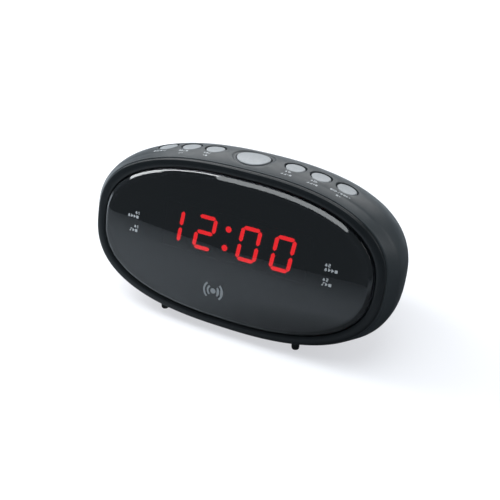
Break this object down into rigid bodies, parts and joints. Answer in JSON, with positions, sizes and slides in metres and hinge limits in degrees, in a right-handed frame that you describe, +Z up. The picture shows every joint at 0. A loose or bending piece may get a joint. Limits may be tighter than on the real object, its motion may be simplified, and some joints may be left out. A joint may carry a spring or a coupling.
{
  "type": "clock radio",
  "caption": "Oval bedside clock radio on feet: leaning smoked display in a black bezel, silver buttons in a row on top, slotted rear cover, hinged battery door, and its working parts inside.",
  "frame": {"origin": "centre of the bounding box, on the plane that the feet stand on", "axes": "+X to the right seen from the front, +Y to the back (the face looks along -Y and leans back), +Z up"},
  "size_m": [0.1724, 0.0761, 0.0881],
  "materials": {
    "case_grey": "fine matte texture",
    "bezel_black": "satin black",
    "smoked_lens": "polished, smoked",
    "button_silver": "silver paint",
    "circuit_board": "solder mask",
    "black_plastic": "moulded",
    "display_white": "moulded",
    "lamp_red": "clear epoxy",
    "plated_steel": "zinc plated",
    "core_steel": "varnished laminations",
    "winding_tape": "polyester tape",
    "cone_paper": "pressed paper",
    "ferrite": "ground",
    "cell_sleeve": "printed sleeve, no lettering",
    "capacitor_sleeve": "shrink sleeve",
    "rubber": "moulded",
    "label_silver": "blank"
  },
  "bodies": {
    "case": {"main_housing": "case_grey", "rear_cover": "case_grey", "front_bezel": "bezel_black", "display_lens": "smoked_lens", "main_board": "circuit_board", "key_board": "circuit_board", "clock_chip": "black_plastic", "snooze_switch": "black_plastic", "left_switch_1": "black_plastic", "left_switch_2": "black_plastic", "left_switch_3": "black_plastic", "right_switch_1": "black_plastic", "right_switch_2": "black_plastic", "right_switch_3": "black_plastic", "display_module": "display_white", "alarm_lamp_1": "lamp_red", "alarm_lamp_2": "lamp_red", "alarm_lamp_3": "lamp_red", "alarm_lamp_4": "lamp_red", "tuner_can": "plated_steel", "speaker_basket": "plated_steel", "cell_contact_left": "plated_steel", "cell_contact_right": "plated_steel", "main_board_screw_1": "plated_steel", "main_board_screw_2": "plated_steel", "key_board_screw_1": "plated_steel", "key_board_screw_2": "plated_steel", "transformer_screw_1": "plated_steel", "transformer_screw_2": "plated_steel", "speaker_screw_1": "plated_steel", "speaker_screw_2": "plated_steel", "speaker_screw_3": "plated_steel", "case_screw_1": "plated_steel", "case_screw_2": "plated_steel", "case_screw_3": "plated_steel", "case_screw_4": "plated_steel", "transformer_core": "core_steel", "transformer_winding": "winding_tape", "speaker_magnet": "ferrite", "backup_cell_1": "cell_sleeve", "backup_cell_2": "cell_sleeve", "capacitor_1": "capacitor_sleeve", "capacitor_2": "capacitor_sleeve", "front_foot_left": "rubber", "front_foot_right": "rubber", "rear_foot_left": "rubber", "rear_foot_right": "rubber", "mains_cable_gland": "rubber", "aerial_grommet": "rubber", "rating_plate": "label_silver"},
    "snooze_button_body": {"snooze_button": "button_silver"},
    "left_button_1_body": {"left_button_1": "button_silver"},
    "left_button_2_body": {"left_button_2": "button_silver"},
    "left_button_3_body": {"left_button_3": "button_silver"},
    "right_button_1_body": {"right_button_1": "button_silver"},
    "right_button_2_body": {"right_button_2": "button_silver"},
    "right_button_3_body": {"right_button_3": "button_silver"},
    "door_body": {"battery_door": "case_grey"},
    "speaker_cone_body": {"speaker_cone": "cone_paper"}
  },
  "joints": [
    {"name": "snooze_press", "type": "slide", "parent": "case", "child": "snooze_button_body", "axis": [0, 0, -1], "range_m": [0, 0.001], "stiffness_N_per_m": 1200},
    {"name": "left_press_1", "type": "slide", "parent": "case", "child": "left_button_1_body", "axis": [0, 0, -1], "range_m": [0, 0.001], "stiffness_N_per_m": 1200},
    {"name": "left_press_2", "type": "slide", "parent": "case", "child": "left_button_2_body", "axis": [0, 0, -1], "range_m": [0, 0.001], "stiffness_N_per_m": 1200},
    {"name": "left_press_3", "type": "slide", "parent": "case", "child": "left_button_3_body", "axis": [0, 0, -1], "range_m": [0, 0.001], "stiffness_N_per_m": 1200},
    {"name": "right_press_1", "type": "slide", "parent": "case", "child": "right_button_1_body", "axis": [0, 0, -1], "range_m": [0, 0.001], "stiffness_N_per_m": 1200},
    {"name": "right_press_2", "type": "slide", "parent": "case", "child": "right_button_2_body", "axis": [0, 0, -1], "range_m": [0, 0.001], "stiffness_N_per_m": 1200},
    {"name": "right_press_3", "type": "slide", "parent": "case", "child": "right_button_3_body", "axis": [0, 0, -1], "range_m": [0, 0.001], "stiffness_N_per_m": 1200},
    {"name": "door_hinge", "type": "hinge", "parent": "case", "child": "door_body", "pos_m": [-0.012, -0.0246, 0.0048], "axis": [-1, 0, 0], "range_deg": [0, 85]},
    {"name": "cone_travel", "type": "slide", "parent": "case", "child": "speaker_cone_body", "axis": [0, 1, 0], "range_m": [-0.001, 0.001], "stiffness_N_per_m": 1500}
  ]
}
